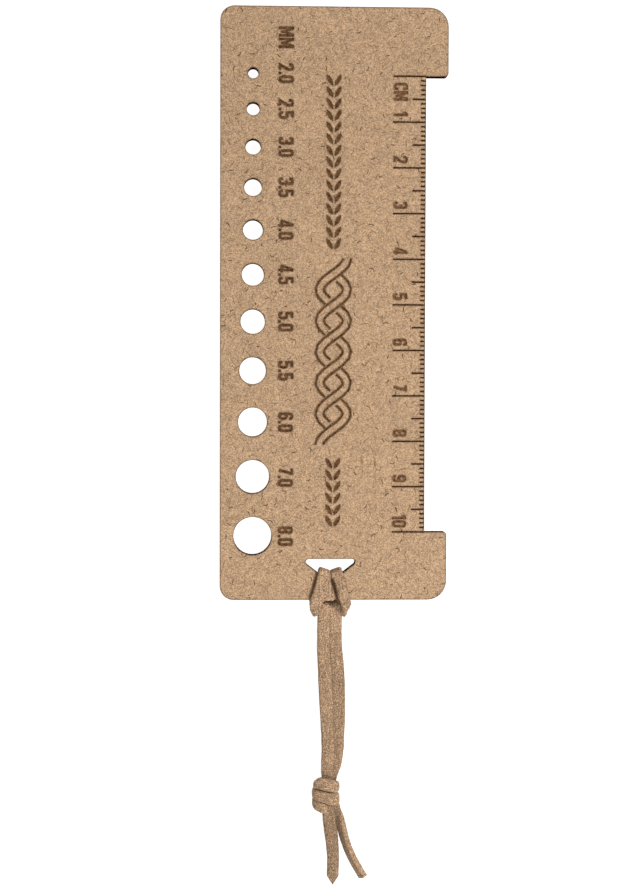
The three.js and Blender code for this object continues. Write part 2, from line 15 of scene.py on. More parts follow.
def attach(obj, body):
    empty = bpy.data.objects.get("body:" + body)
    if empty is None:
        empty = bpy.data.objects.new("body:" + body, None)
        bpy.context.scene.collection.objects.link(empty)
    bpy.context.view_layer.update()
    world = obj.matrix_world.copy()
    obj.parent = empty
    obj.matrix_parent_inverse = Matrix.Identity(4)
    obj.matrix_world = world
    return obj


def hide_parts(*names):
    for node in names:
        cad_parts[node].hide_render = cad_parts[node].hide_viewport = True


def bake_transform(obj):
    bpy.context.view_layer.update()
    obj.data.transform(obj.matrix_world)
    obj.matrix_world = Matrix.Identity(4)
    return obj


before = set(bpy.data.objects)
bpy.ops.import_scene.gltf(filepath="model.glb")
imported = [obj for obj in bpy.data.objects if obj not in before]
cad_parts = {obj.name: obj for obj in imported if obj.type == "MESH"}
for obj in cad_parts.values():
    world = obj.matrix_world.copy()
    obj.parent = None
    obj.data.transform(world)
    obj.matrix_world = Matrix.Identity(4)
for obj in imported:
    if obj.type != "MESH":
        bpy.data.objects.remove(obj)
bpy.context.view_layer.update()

MM = 0.001
DEGREE = math.pi / 180

# The board's size and how it lies: the lace under its lower end holds that end off the table
BOARD_LENGTH = 130.0
BOARD_THICKNESS = 3.0
HALF_LENGTH = BOARD_LENGTH / 2
END_LIFT = 2.05
TILT = math.asin(END_LIFT / BOARD_LENGTH)
BOARD_PLACE = Vector((0, -BOARD_THICKNESS / 2 * math.sin(TILT), HALF_LENGTH * math.sin(TILT))) * MM
BOARD_MATRIX = Matrix.Translation(BOARD_PLACE) @ Matrix.Rotation(-TILT, 4, "X")
BOARD_AHEAD = (0.0, math.cos(TILT), -math.sin(TILT))
BOARD_UP = (0.0, math.sin(TILT), math.cos(TILT))

# The slot, the lace and the knot
SLOT_X = -0.62
SLOT_APEX = -HALF_LENGTH + 3.84
LACE_WIDTH = 2.72
LACE_THICKNESS = 1.4
PINCH_WIDTH = 2.5
PINCH_THICKNESS = 1.3
SEAT_GAP = 0.3
BIGHT_REACH = 2.6
KNOT_TOP = 38.7
KNOT_LENGTH = 8.1
KNOT_HALF_HEIGHT = 2.95


# The camera, fitted to the board's outline and scale lines in the photograph, in the board's own frame

PHOTO_LONG_SIDE = 896
FOCAL_PIXELS = 2036
SENSOR = 36.0
CAMERA_PLACE = Vector((-24.5, -16.8, 450.0)) * MM
CAMERA_TURN = (-1.89, -2.75, 0.17)
CAMERA_NEAR = 0.01
CAMERA_FAR = 20


def make_camera():
    data = bpy.data.cameras.new("camera")
    data.sensor_width = SENSOR
    data.lens = FOCAL_PIXELS * SENSOR / PHOTO_LONG_SIDE
    data.clip_start = CAMERA_NEAR
    data.clip_end = CAMERA_FAR
    camera = bpy.data.objects.new("camera", data)
    turn = Matrix.Identity(4)
    for axis, angle in zip("ZYX", reversed(CAMERA_TURN)):
        turn = turn @ Matrix.Rotation(angle * DEGREE, 4, axis)
    camera.matrix_world = BOARD_MATRIX @ Matrix.Translation(CAMERA_PLACE) @ turn
    bpy.context.scene.collection.objects.link(camera)
    bpy.context.scene.camera = camera


# Routes and ribbons

Station = namedtuple("Station", "centre across width thickness tone lean wall")
Ribbon = namedtuple("Ribbon", "points faces lay tone")

STEP = 0.3
FINE_STEPS = 60
TANGENT_STEP = 0.01


def spline(points, parameters):
    """A centripetal Catmull-Rom curve through the points, at parameters from 0 to len(points) - 1."""
    points = np.asarray(points, float)
    padded = np.vstack([2 * points[0] - points[1], points, 2 * points[-1] - points[-2]])
    gaps = np.sqrt(np.linalg.norm(np.diff(padded, axis=0), axis=1))
    found = []
    for parameter in parameters:
        k = min(int(parameter), len(points) - 2)
        t = parameter - k
        p0, p1, p2, p3 = padded[k:k + 4]
        d0, d1, d2 = gaps[k:k + 3]
        m1 = ((p1 - p0) / d0 - (p2 - p0) / (d0 + d1) + (p2 - p1) / d1) * d1
        m2 = ((p2 - p1) / d1 - (p3 - p1) / (d1 + d2) + (p3 - p2) / d2) * d1
        a = 2 * p1 - 2 * p2 + m1 + m2
        b = -3 * p1 + 3 * p2 - 2 * m1 - m2
        found.append(((a * t + b) * t + m1) * t + p1)
    return np.array(found)


def even_sections(stations):
    """Sections of a ribbon at even steps along a smooth route through its stations, in millimetres.

    A section needn't be square to the route, and the lean slants its sides: it is how far one face is shifted
    across, for each millimetre of thickness. The wall is the tone of the sides against that of the faces.
    """
    centres = np.array([s.centre for s in stations], float)
    across = np.array([s.across for s in stations], float)
    sizes = np.array([(s.width, s.thickness, s.tone, s.lean, s.wall) for s in stations], float)
    last = len(stations) - 1
    fine = np.linspace(0, last, FINE_STEPS * last + 1)
    line = spline(centres, fine)
    run = np.concatenate([[0], np.cumsum(np.linalg.norm(np.diff(line, axis=0), axis=1))])
    along = np.linspace(0, run[-1], max(int(round(run[-1] / STEP)), 2) + 1)
    place = np.interp(along, run, fine)
    centre = spline(centres, place)
    ahead = spline(centres, np.clip(place + TANGENT_STEP, 0, last))
    behind = spline(centres, np.clip(place - TANGENT_STEP, 0, last))
    tangent = ahead - behind
    tangent /= np.linalg.norm(tangent, axis=1)[:, None]
    k = np.minimum(place.astype(int), last - 1)
    t = place - k
    smooth = (t * t * (3 - 2 * t))[:, None]
    side = across[k] * (1 - smooth) + across[k + 1] * smooth
    side /= np.linalg.norm(side, axis=1)[:, None]
    normal = np.cross(tangent, side)
    normal /= np.linalg.norm(normal, axis=1)[:, None]
    size = sizes[k] * (1 - smooth) + sizes[k + 1] * smooth
    return {
        "centre": centre,
        "across": side,
        "normal": normal,
        "width": size[:, 0],
        "thickness": size[:, 1],
        "tone": size[:, 2],
        "lean": size[:, 3],
        "wall": size[:, 4],
        "along": along,
    }


def part_of(sections, first, last):
    """A stretch of a ribbon, from one section to another, both included."""
    return {name: values[first:last + 1] for name, values in sections.items()}


RING = 28
RING_SAMPLES = 721
SQUARENESS = 5.0

# The suede's uneven surface: the patterns per millimetre and the weights of its two layers, and its depth
WOBBLE_LAYERS = [(0.55, 1.3), (2.3, 0.8)]
WOBBLE_DEPTH = 0.05
WOBBLE_SEED = 3.0

# How far across a ribbon, from 0 to 1, its face goes over into its side
WALL_START = 0.9
WALL_BLEND = 0.08


def ring_shape(power):
    """A soft-cornered rectangle from -1 to 1 both ways, its points evenly spaced round a flat lace."""
    angles = np.linspace(0, 2 * math.pi, RING_SAMPLES)
    x = np.sign(np.cos(angles)) * np.abs(np.cos(angles)) ** (2 / power)
    y = np.sign(np.sin(angles)) * np.abs(np.sin(angles)) ** (2 / power)
    run = np.concatenate([[0], np.cumsum(np.hypot(np.diff(x) * LACE_WIDTH, np.diff(y) * LACE_THICKNESS))])
    even = np.linspace(0, run[-1], RING + 1)[:-1]
    return np.column_stack([np.interp(even, run, x), np.interp(even, run, y)])


def wobble(point):
    return sum(noise.noise(Vector(point * scale + WOBBLE_SEED)) * weight for scale, weight in WOBBLE_LAYERS)


def make_ribbon(sections, power=SQUARENESS):
    """A closed suede ribbon in millimetres, with each point's place in the lace and its tone."""
    shape = ring_shape(power)
    rings = len(sections["centre"])
    half_width = shape[None, :, 0:1] * sections["width"][:, None, None] / 2
    half_thickness = shape[None, :, 1:2] * sections["thickness"][:, None, None] / 2
    half_width = half_width + half_thickness * sections["lean"][:, None, None]
    offset = sections["across"][:, None, :] * half_width + sections["normal"][:, None, :] * half_thickness
    outward = offset / np.maximum(np.linalg.norm(offset, axis=2)[:, :, None], 1e-6)
    points = (sections["centre"][:, None, :] + offset).reshape(-1, 3)
    depths = np.array([wobble(point) for point in points]) * WOBBLE_DEPTH
    points = points + outward.reshape(-1, 3) * depths[:, None]
    faces = []
    for i in range(rings - 1):
        for j in range(RING):
            k = (j + 1) % RING
            faces.append((i * RING + j, i * RING + k, (i + 1) * RING + k, (i + 1) * RING + j))
    lay = np.zeros((rings, RING, 3))
    lay[:, :, 0] = sections["along"][:, None]
    lay[:, :, 1] = shape[None, :, 0] * sections["width"][:, None] / 2
    lay[:, :, 2] = shape[None, :, 1] * sections["thickness"][:, None] / 2
    lay = lay.reshape(-1, 3)
    on_wall = np.clip((np.abs(shape[None, :, 0]) - WALL_START) / WALL_BLEND, 0, 1)
    tone = (sections["tone"][:, None] * (1 + on_wall * (sections["wall"][:, None] - 1))).ravel()

    # The ends have points of their own, so that they don't bend the shading of the sides
    count = len(points)
    faces += [tuple(range(count, count + RING)), tuple(range(count + RING, count + 2 * RING))]
    ends = np.concatenate([np.arange(RING)[::-1], np.arange((rings - 1) * RING, rings * RING)])
    return Ribbon(
        points=np.vstack([points, points[ends]]),
        faces=faces,
        lay=np.vstack([lay, lay[ends]]),
        tone=np.concatenate([tone, tone[ends]]),
    )


def ribbon_object(name, ribbons, material):
    """One object of one or more ribbons."""
    points = np.vstack([ribbon.points for ribbon in ribbons]) * MM
    faces = []
    start = 0
    for ribbon in ribbons:
        faces += [tuple(start + i for i in face) for face in ribbon.faces]
        start += len(ribbon.points)
    mesh = bpy.data.meshes.new(name)
    mesh.from_pydata(points.tolist(), [], faces)
    lay = mesh.attributes.new("lay", "FLOAT_VECTOR", "POINT")
    lay.data.foreach_set("vector", np.vstack([ribbon.lay for ribbon in ribbons]).ravel())
    tone = mesh.attributes.new("tone", "FLOAT", "POINT")
    tone.data.foreach_set("value", np.concatenate([ribbon.tone for ribbon in ribbons]))
    mesh.polygons.foreach_set("use_smooth", [True] * len(mesh.polygons))
    mesh.materials.append(material)
    mesh.update()
    made = bpy.data.objects.new(name, mesh)
    bpy.context.scene.collection.objects.link(made)
    return made


def on_board(point, across):
    """A point and a direction of the board's frame, over the table, in millimetres."""
    place = BOARD_MATRIX @ (Vector(point) * MM) / MM
    direction = BOARD_MATRIX.to_3x3() @ Vector(across)
    return np.array(place), np.array(direction)


# Shader nodes

# Noise with a number of patterns per millimetre. Its values from low to high give light from dark to bright.
Pattern = namedtuple("Pattern", "scale detail roughness low high dark bright", defaults=(0.0, 1.0))

# A value of its own in each of many small cells, as light from dark to bright
Cells = namedtuple("Cells", "scale dark bright")

# A band beside the edges: its radius, how far the normal of an edge so rounded agrees with the face's own,
# from low to high, and the share of a colour that the band gets
Rim = namedtuple("Rim", "radius low high share")

BEVEL_SAMPLES = 6

# A Mix node's sockets for colours
MIX_A = 6
MIX_B = 7
MIX_RESULT = 2


class Shader:
    """A material's node tree, with the few calls that its materials need."""

    def __init__(self, name, surface):
        self.material = bpy.data.materials.new(name)
        self.material.use_nodes = True
        self.tree = self.material.node_tree
        self.surface = self.tree.nodes["Principled BSDF"]
        for key, value in surface.items():
            self.surface.inputs[key].default_value = value

    def node(self, kind, inputs=None, **settings):
        made = self.tree.nodes.new(kind)
        for key, value in settings.items():
            setattr(made, key, value)
        for key, value in (inputs or {}).items():
            self.feed(made.inputs[key], value)
        return made

    def feed(self, socket, value):
        if isinstance(value, bpy.types.NodeSocket):
            self.tree.links.new(value, socket)
        else:
            socket.default_value = value

    def math(self, operation, *values):
        made = self.node("ShaderNodeMath", operation=operation)
        for socket, value in zip(made.inputs, values):
            self.feed(socket, value)
        return made.outputs[0]

    def times(self, *values):
        product = values[0]
        for value in values[1:]:
            product = self.math("MULTIPLY", product, value)
        return product

    def vector(self, operation, *values):
        made = self.node("ShaderNodeVectorMath", operation=operation)
        for socket, value in zip(made.inputs, values):
            self.feed(socket, value)
        return made.outputs["Vector"]

    def dot(self, a, b):
        made = self.node("ShaderNodeVectorMath", {0: a, 1: b}, operation="DOT_PRODUCT")
        return made.outputs["Value"]

    def scaled(self, vector, factor):
        """A vector, or a colour made lighter or darker, times a factor."""
        made = self.node("ShaderNodeVectorMath", operation="SCALE")
        self.feed(made.inputs[0], vector[:3] if isinstance(vector, tuple) else vector)
        self.feed(made.inputs["Scale"], factor)
        return made.outputs["Vector"]

    def ramp(self, value, low, high, to_low=0.0, to_high=1.0):
        """A value from low to high, made to run softly from one number to another."""
        made = self.node("ShaderNodeMapRange", {
            "Value": value, "From Min": low, "From Max": high, "To Min": to_low, "To Max": to_high,
        }, interpolation_type="SMOOTHSTEP")
        return made.outputs["Result"]

    def noise(self, vector, pattern):
        made = self.node("ShaderNodeTexNoise", {
            "Vector": vector,
            "Scale": pattern.scale,
            "Detail": pattern.detail,
            "Roughness": pattern.roughness,
        })
        return made.outputs["Fac"]

    def shade(self, value, pattern):
        """The light of a pattern, from the value of its noise."""
        return self.ramp(value, pattern.low, pattern.high, pattern.dark, pattern.bright)

    def mottle(self, vector, pattern):
        return self.shade(self.noise(vector, pattern), pattern)

    def cells(self, vector, cells):
        made = self.node("ShaderNodeTexVoronoi", {"Vector": vector, "Scale": cells.scale})
        chance = self.node("ShaderNodeSeparateColor", {0: made.outputs["Color"]}).outputs[0]
        return self.ramp(chance, 0.0, 1.0, cells.dark, cells.bright)

    def mix(self, share, a, b):
        made = self.node("ShaderNodeMix", data_type="RGBA")
        self.feed(made.inputs["Factor"], share)
        self.feed(made.inputs[MIX_A], a)
        self.feed(made.inputs[MIX_B], b)
        return made.outputs[MIX_RESULT]

    def rim(self, normal, rim):
        """The share of the colour that a rim gets, 0 away from the edges."""
        rounded = self.node("ShaderNodeBevel", {"Radius": rim.radius * MM}, samples=BEVEL_SAMPLES)
        agreement = self.dot(rounded.outputs["Normal"], normal)
        return self.math("MULTIPLY", self.ramp(agreement, rim.low, rim.high, 1.0, 0.0), rim.share)

    def bump(self, height, strength, distance):
        made = self.node("ShaderNodeBump", {
            "Height": height, "Strength": strength, "Distance": distance * MM,
        })
        return made.outputs["Normal"]


def srgb(red, green, blue):
    """A colour given in 0 to 255, as linear values."""
    def linear(value):
        value /= 255
        return value / 12.92 if value <= 0.04045 else ((value + 0.055) / 1.055) ** 2.4
    return (linear(red), linear(green), linear(blue), 1.0)


# The fibreboard. Sizes are millimetres.

BOARD_SURFACE = {"Roughness": 0.82, "Specular IOR Level": 0.0}

FACE_COLOUR = srgb(187, 155, 123)
PALE_FIBRE = srgb(214, 186, 152)
DARK_FIBRE = srgb(118, 88, 60)
BLACK_FIBRE = srgb(66, 42, 24)
SCORED_LINE = srgb(62, 35, 18)
ENGRAVED_DARK = srgb(78, 48, 28)
ENGRAVED_LIGHT = srgb(130, 95, 65)
CHAR_DARK = srgb(16, 4, 3)
CHAR_LIGHT = srgb(46, 18, 11)

BOARD_BLOTCH = Pattern(0.16, 3.0, 0.55, 0.3, 0.7, 0.965, 1.035)
BOARD_CLOUD = Pattern(0.75, 3.0, 0.6, 0.3, 0.7, 0.94, 1.06)
BOARD_GRAIN = Pattern(3.4, 2.0, 0.6, 0.3, 0.7, 0.9, 1.09)
BOARD_CELLS = Cells(6.2, 0.6, 1.36)
ENGRAVED_SCORCH = Pattern(1.7, 4.0, 0.7, 0.3, 0.7)
ENGRAVED_SPECK = Pattern(7.5, 2.0, 0.6, 0.3, 0.7, 0.8, 1.2)
CHAR_MOTTLE = Pattern(1.1, 3.0, 0.55, 0.35, 0.7)

# Stray fibres, one in each of a share of random cells a spacing apart. The seed shifts the cells. A fibre is
# at least SHORTEST_FIBRE of its full length, and solid over FIBRE_CORE of its width and FIBRE_TAPER of its
# length.
Fibres = namedtuple("Fibres", "spacing half_length half_width bend share seed colour strength")
FIBRES = {
    "pale": Fibres(1.7, 0.75, 0.06, 0.35, 0.5, 31.0, PALE_FIBRE, 0.4),
    "fine": Fibres(1.1, 0.5, 0.075, 0.6, 0.65, 7.0, DARK_FIBRE, 0.5),
    "dark": Fibres(2.1, 1.0, 0.11, 0.6, 0.55, 53.0, DARK_FIBRE, 0.8),
    "black": Fibres(3.1, 0.7, 0.14, 0.9, 0.4, 77.0, BLACK_FIBRE, 0.9),
}
SEED_SLOPE = 1.7
SHORTEST_FIBRE = 0.4
FIBRE_CORE = 0.4
FIBRE_TAPER = 0.75

# Where the board counts as floor of the engraving and as cut wall: how far it faces up, and how deep it is
FLOOR_FACING = (0.6, 0.9)
FLOOR_DEPTH = (0.08, 0.2)
WALL_FACING = (0.4, 0.8)

LINE_RIM = Rim(0.12, 0.84, 0.985, 0.12)
CUT_RIM = Rim(0.7, 0.86, 0.955, 0.85)

# The scale's lines as (spacing, length) from the measuring edge, and how far round each the floor is its own
SCALE_EDGE = 20.1
SCALE_LINES = [(1.0, 1.1), (5.0, 2.95), (10.0, 7.2)]
SCALE_LINE_REACH = 0.3

# Between these places across the board the engraving turns paler, towards the scale
SCALE_SIDE = (6.0, 12.0)
SCALE_PALER = 1.36

GRAIN_RELIEF = 0.6
SPECK_RELIEF = 0.4
FIBRE_RELIEF = 0.2
BOARD_BUMP_STRENGTH = 0.35
BOARD_BUMP_DISTANCE = 0.06


def fibre_mask(shader, place, fibres):
    """1 on short curved fibres that are turned at random."""
    moved = shader.vector("ADD", place, (fibres.seed, fibres.seed * SEED_SLOPE, 0))
    cells = shader.node("ShaderNodeTexVoronoi", {
        "Vector": moved, "Scale": 1 / fibres.spacing,
    }, voronoi_dimensions="2D")
    from_cell = shader.vector("SUBTRACT", moved, cells.outputs["Position"])
    local = shader.node("ShaderNodeSeparateXYZ", {0: from_cell})
    x, y = local.outputs["X"], local.outputs["Y"]
    chance = shader.node("ShaderNodeSeparateColor", {0: cells.outputs["Color"]})
    for_angle, for_form, for_presence = chance.outputs[:3]
    angle = shader.math("MULTIPLY", for_angle, 2 * math.pi)
    cosine = shader.math("COSINE", angle)
    sine = shader.math("SINE", angle)
    along = shader.math("ADD", shader.times(x, cosine), shader.times(y, sine))
    across = shader.math("SUBTRACT", shader.times(y, cosine), shader.times(x, sine))
    curve = shader.math("MULTIPLY", shader.math("SUBTRACT", for_form, 0.5), 2 * fibres.bend)
    bowed = shader.math("SUBTRACT", across, shader.math("MULTIPLY", curve, shader.times(along, along)))
    width = fibres.half_width
    thin = shader.ramp(shader.math("ABSOLUTE", bowed), width * FIBRE_CORE, width, 1.0, 0.0)
    shortest = SHORTEST_FIBRE * fibres.half_length
    reach = shader.math("MULTIPLY_ADD", for_form, fibres.half_length - shortest, shortest)
    ratio = shader.math("DIVIDE", shader.math("ABSOLUTE", along), reach)
    short = shader.ramp(ratio, FIBRE_TAPER, 1.0, 1.0, 0.0)
    chosen = shader.math("LESS_THAN", for_presence, fibres.share)
    return shader.times(thin, short, chosen)


def scale_lines(shader, x, along):
    """1 on the lines of the scale, which are scored darker than the figures."""
    found = None
    for spacing, length in SCALE_LINES:
        near = shader.math("LESS_THAN", shader.math("PINGPONG", along, spacing / 2), SCALE_LINE_REACH)
        reached = shader.math("GREATER_THAN", x, SCALE_EDGE - length - SCALE_LINE_REACH)
        lines = shader.times(near, reached)
        found = lines if found is None else shader.math("MAXIMUM", found, lines)
    return found


def fibreboard_material():
    """Bare fibreboard: mottle and stray fibres on the faces, brown engraving and charred cut edges."""
    shader = Shader("fibreboard", BOARD_SURFACE)
    place = shader.scaled(shader.node("ShaderNodeTexCoord").outputs["Object"], 1 / MM)
    from_middle = shader.vector("SUBTRACT", place, tuple(BOARD_PLACE / MM))
    x = shader.node("ShaderNodeSeparateXYZ", {0: place}).outputs["X"]
    along = shader.dot(from_middle, BOARD_AHEAD)
    height = shader.dot(from_middle, BOARD_UP)
    depth = shader.math("SUBTRACT", BOARD_THICKNESS, height)
    normal = shader.vector("NORMALIZE", shader.node("ShaderNodeNewGeometry").outputs["True Normal"])
    facing = shader.dot(normal, BOARD_UP)
    is_floor = shader.times(shader.ramp(facing, *FLOOR_FACING), shader.ramp(depth, *FLOOR_DEPTH))
    is_wall = shader.ramp(shader.math("ABSOLUTE", facing), *WALL_FACING, 1.0, 0.0)

    grain = shader.noise(place, BOARD_GRAIN)
    speck = shader.noise(place, ENGRAVED_SPECK)
    face = shader.scaled(FACE_COLOUR, shader.times(
        shader.mottle(place, BOARD_BLOTCH),
        shader.mottle(place, BOARD_CLOUD),
        shader.shade(grain, BOARD_GRAIN),
        shader.cells(place, BOARD_CELLS),
    ))
    masks = {}
    for name, fibres in FIBRES.items():
        masks[name] = fibre_mask(shader, place, fibres)
        face = shader.mix(shader.math("MULTIPLY", masks[name], fibres.strength), face, fibres.colour)

    engraved = shader.mix(shader.mottle(place, ENGRAVED_SCORCH), ENGRAVED_DARK, ENGRAVED_LIGHT)
    engraved = shader.scaled(engraved, shader.shade(speck, ENGRAVED_SPECK))
    engraved = shader.scaled(engraved, shader.ramp(x, *SCALE_SIDE, 1.0, SCALE_PALER))
    charred = shader.mix(shader.mottle(place, CHAR_MOTTLE), CHAR_DARK, CHAR_LIGHT)
    colour = shader.mix(is_floor, face, engraved)
    colour = shader.mix(shader.times(is_floor, scale_lines(shader, x, along)), colour, SCORED_LINE)
    colour = shader.mix(shader.rim(normal, LINE_RIM), colour, ENGRAVED_DARK)
    off_floor = shader.math("SUBTRACT", 1.0, is_floor)
    colour = shader.mix(shader.times(off_floor, shader.rim(normal, CUT_RIM)), colour, CHAR_LIGHT)
    colour = shader.mix(is_wall, colour, charred)
    shader.feed(shader.surface.inputs["Base Color"], colour)

    raised_grain = shader.math("MULTIPLY", grain, GRAIN_RELIEF)
    raised_speck = shader.math("MULTIPLY", speck, SPECK_RELIEF)
    sunk_fibres = shader.math("MULTIPLY", masks["dark"], FIBRE_RELIEF)
    relief = shader.math("SUBTRACT", shader.math("ADD", raised_grain, raised_speck), sunk_fibres)
    bump = shader.bump(relief, BOARD_BUMP_STRENGTH, BOARD_BUMP_DISTANCE)
    shader.feed(shader.surface.inputs["Normal"], bump)
    return shader.material


# The suede. Its patterns lie along and across the lace, and some are drawn out along it.

SUEDE_SURFACE = {
    "Roughness": 0.95,
    "Specular IOR Level": 0.15,
    "Sheen Weight": 0.25,
    "Sheen Roughness": 0.45,
    "Sheen Tint": srgb(236, 214, 190),
}
SUEDE_WARM = srgb(177, 145, 115)
SUEDE_COOL = srgb(166, 137, 109)
# Where painted shade brings the tone low, the suede turns to this deeper brown, the colour of painted shade
SUEDE_SHADE_COLOUR = srgb(180, 134, 88)
SHADED_TONES = (0.3, 0.7)

STREAK_STRETCH = (0.35, 2.6, 2.6)
NAP_STRETCH = (3.2, 5.6, 5.6)
SUEDE_STREAKS = Pattern(1.0, 3.0, 0.6, 0.3, 0.7, 0.86, 1.14)
SUEDE_BLOTCH = Pattern(0.45, 3.0, 0.55, 0.3, 0.7, 0.94, 1.06)
SUEDE_NAP = Pattern(1.0, 4.0, 0.75, 0.36, 0.64, 0.42, 1.62)
SUEDE_SPECK = Pattern(6.5, 3.0, 0.8, 0.36, 0.64, 0.43, 1.59)
SUEDE_CELLS = Cells(4.4, 0.8, 1.18)
SUEDE_HUE = Pattern(1.3, 2.0, 0.55, 0.3, 0.7)
NAP_BUMP_STRENGTH = 0.7
NAP_BUMP_DISTANCE = 0.12


def suede_material():
    """Napped suede: short streaks along the lace, fine speckle and a soft sheen."""
    shader = Shader("suede", SUEDE_SURFACE)
    lay = shader.node("ShaderNodeAttribute", attribute_name="lay").outputs["Vector"]
    # The tone of each point holds painted shade and painted highlights besides the lace's own tone
    tone = shader.node("ShaderNodeAttribute", attribute_name="tone").outputs["Fac"]
    nap = shader.noise(shader.vector("MULTIPLY", lay, NAP_STRETCH), SUEDE_NAP)
    light = shader.times(
        tone,
        shader.mottle(shader.vector("MULTIPLY", lay, STREAK_STRETCH), SUEDE_STREAKS),
        shader.mottle(lay, SUEDE_BLOTCH),
        shader.shade(nap, SUEDE_NAP),
        shader.mottle(lay, SUEDE_SPECK),
        shader.cells(lay, SUEDE_CELLS),
    )
    hue = shader.mix(shader.mottle(lay, SUEDE_HUE), SUEDE_WARM, SUEDE_COOL)
    # Low tones, mostly painted shade, take the deeper brown of painted shade
    hue = shader.mix(shader.ramp(tone, *SHADED_TONES, 1.0, 0.0), hue, SUEDE_SHADE_COLOUR)
    shader.feed(shader.surface.inputs["Base Color"], shader.scaled(hue, light))
    bump = shader.bump(nap, NAP_BUMP_STRENGTH, NAP_BUMP_DISTANCE)
    shader.feed(shader.surface.inputs["Normal"], bump)
    return shader.material


# The hitch: a reverse lark's head through the slot

STRAND_SPREAD = 1.29
STRAND_WIDTH = 2.84
LEFT_IN_SLOT = 1.36
RIGHT_IN_SLOT = 1.4
EDGE = -HALF_LENGTH
FACE_GAP = 0.04
FACE = BOARD_THICKNESS + FACE_GAP + PINCH_THICKNESS / 2
ABOVE_APEX = 2.3
PASSAGE = SLOT_APEX + ABOVE_APEX
ALONG_X = (1, 0, 0)
ALONG_Y = (0, 1, 0)
SLANT = (0.95, 0.31, 0)

# The tone of a ribbon's sides against its faces, with painted shade that makes a side darker where the lean
# turns it up between the straps
STRAND_WALL = 0.92
LEAN_SHADE = 1.55
DARKEST_WALL = 0.3


def table_height(y):
    """The table's height in the board's frame, at a place along it."""
    return -(HALF_LENGTH - y) * math.tan(TILT)


def hitch_half(side, in_slot, strap):
    """One side of the hitch, from a strand over the bight, under the board, up through the slot, down the
    face and round behind the strands. side is -1 for the left half and 1 for the right.

    A row is (x, y, z, across, width, thickness, tone, lean) in the board's frame, with x from the middle out.
    """
    w, t = PINCH_WIDTH, PINCH_THICKNESS
    wide, thick = STRAND_WIDTH, LACE_THICKNESS
    at_edge = table_height(EDGE)
    # The tones below hold painted shade where the strands dive under the board's edge and where the bight
    # lies under the strands, and painted light on the strands just below the flap
    rows = [
        (STRAND_SPREAD, EDGE - 5.9, table_height(EDGE - 5.9) + 2.3, ALONG_X, wide, thick, 0.98, 0),
        (STRAND_SPREAD, EDGE - 4.7, at_edge + 2.7, ALONG_X, wide, thick, 0.98, 0),
        (STRAND_SPREAD, EDGE - 3.4, at_edge + 3.15, ALONG_X, wide, thick, 1.04, 0),
        (STRAND_SPREAD, EDGE - 2.1, at_edge + 3.3, ALONG_X, wide, t, 1.14, 0),
        (STRAND_SPREAD, EDGE - 1.15, at_edge + 2.75, ALONG_X, wide, t, 0.9, 0),
        (STRAND_SPREAD, EDGE - 0.74, at_edge + 1.75, ALONG_X, wide, t, 0.65, 0),
        (STRAND_SPREAD, EDGE + 0.3, at_edge + 0.85, ALONG_X, wide, t, 0.8, 0),
        (STRAND_SPREAD, EDGE + 2.4, at_edge + 0.7, ALONG_X, w, t, 0.95, 0),
        (in_slot, PASSAGE - 1.45, table_height(PASSAGE) + 0.75, ALONG_X, w, t, 0.95, 0),
        (in_slot, PASSAGE - 0.35, table_height(PASSAGE) + 1.45, SLANT, w, t, 0.92, 0),
        (in_slot, PASSAGE, 0.2, SLANT, w, t, 0.9, 0),
        (in_slot, PASSAGE, BOARD_THICKNESS - 0.3, SLANT, w, t, 0.92, 0),
        *[edge_row(*row) for row in strap],
        (2.5, EDGE - BIGHT_REACH, at_edge + 0.72, ALONG_Y, w, t, 0.85, 0),
        (1.2, EDGE - BIGHT_REACH, at_edge + 0.7, ALONG_Y, w, t, 0.85, 0),
    ]
    made = []
    for x, y, z, across, width, thickness, tone, lean in rows:
        centre, direction = on_board((SLOT_X + side * x, y, z), (side * across[0], across[1], across[2]))
        # Painted shade on the side that the lean turns up
        wall = max(STRAND_WALL - LEAN_SHADE * abs(lean), DARKEST_WALL)
        made.append(Station(centre, direction, width, thickness, tone, lean, wall))
    return made


def edge_row(outer, inner, tone, lean):
    """A row of the hitch by the two upper edges of the lace.

    An edge is (x, y, z): x from the middle out, y from the board's lower edge and z from the middle of a lace
    that lies on the board.
    """
    outer = np.array(outer) + (0, EDGE, FACE)
    inner = np.array(inner) + (0, EDGE, FACE)
    width = np.linalg.norm(outer - inner)
    across = (outer - inner) / width
    centre = (outer + inner) / 2 + across * lean * PINCH_THICKNESS / 2
    return (*centre, across, width, PINCH_THICKNESS, tone, lean)


# The straps from the slot down over the face and round into the ears: (outer edge, inner edge, tone, lean).
# The lower tones where the ears turn in under the strands are painted shade.
LEFT_STRAP = [
    ((2.55, 6.6, -0.15), (0.06, 6.05, -0.15), 0.98, 0.15),
    ((2.8, 5.5, 0), (-0.16, 5.3, 0), 1.0, 0.3),
    ((3.2, 3.95, 0), (-0.21, 3.95, 0), 1.02, 0.4),
    ((3.69, 2.2, 0), (-0.63, 2.2, 0), 1.02, 0.42),
    ((4.2, 0.85, 0), (-0.85, 0.9, 0), 1.02, 0.3),
    ((4.5, 0.1, 0), (0.4, 0.25, 0), 1.02, 0.12),
    ((4.62, -0.7, -0.25), (1.45, -0.3, 0), 1.02, 0),
    ((4.52, -1.4, -0.8), (2.1, -1.3, 0), 1.0, 0),
    ((4.05, -2.1, -1.7), (2.92, -2.4, -0.3), 0.97, 0),
    ((3.7, -2.4, -3.0), (2.95, -3.65, -1.5), 0.85, 0),
    ((3.9, -1.9, -4.2), (3.1, -3.6, -3.7), 0.8, 0),
]
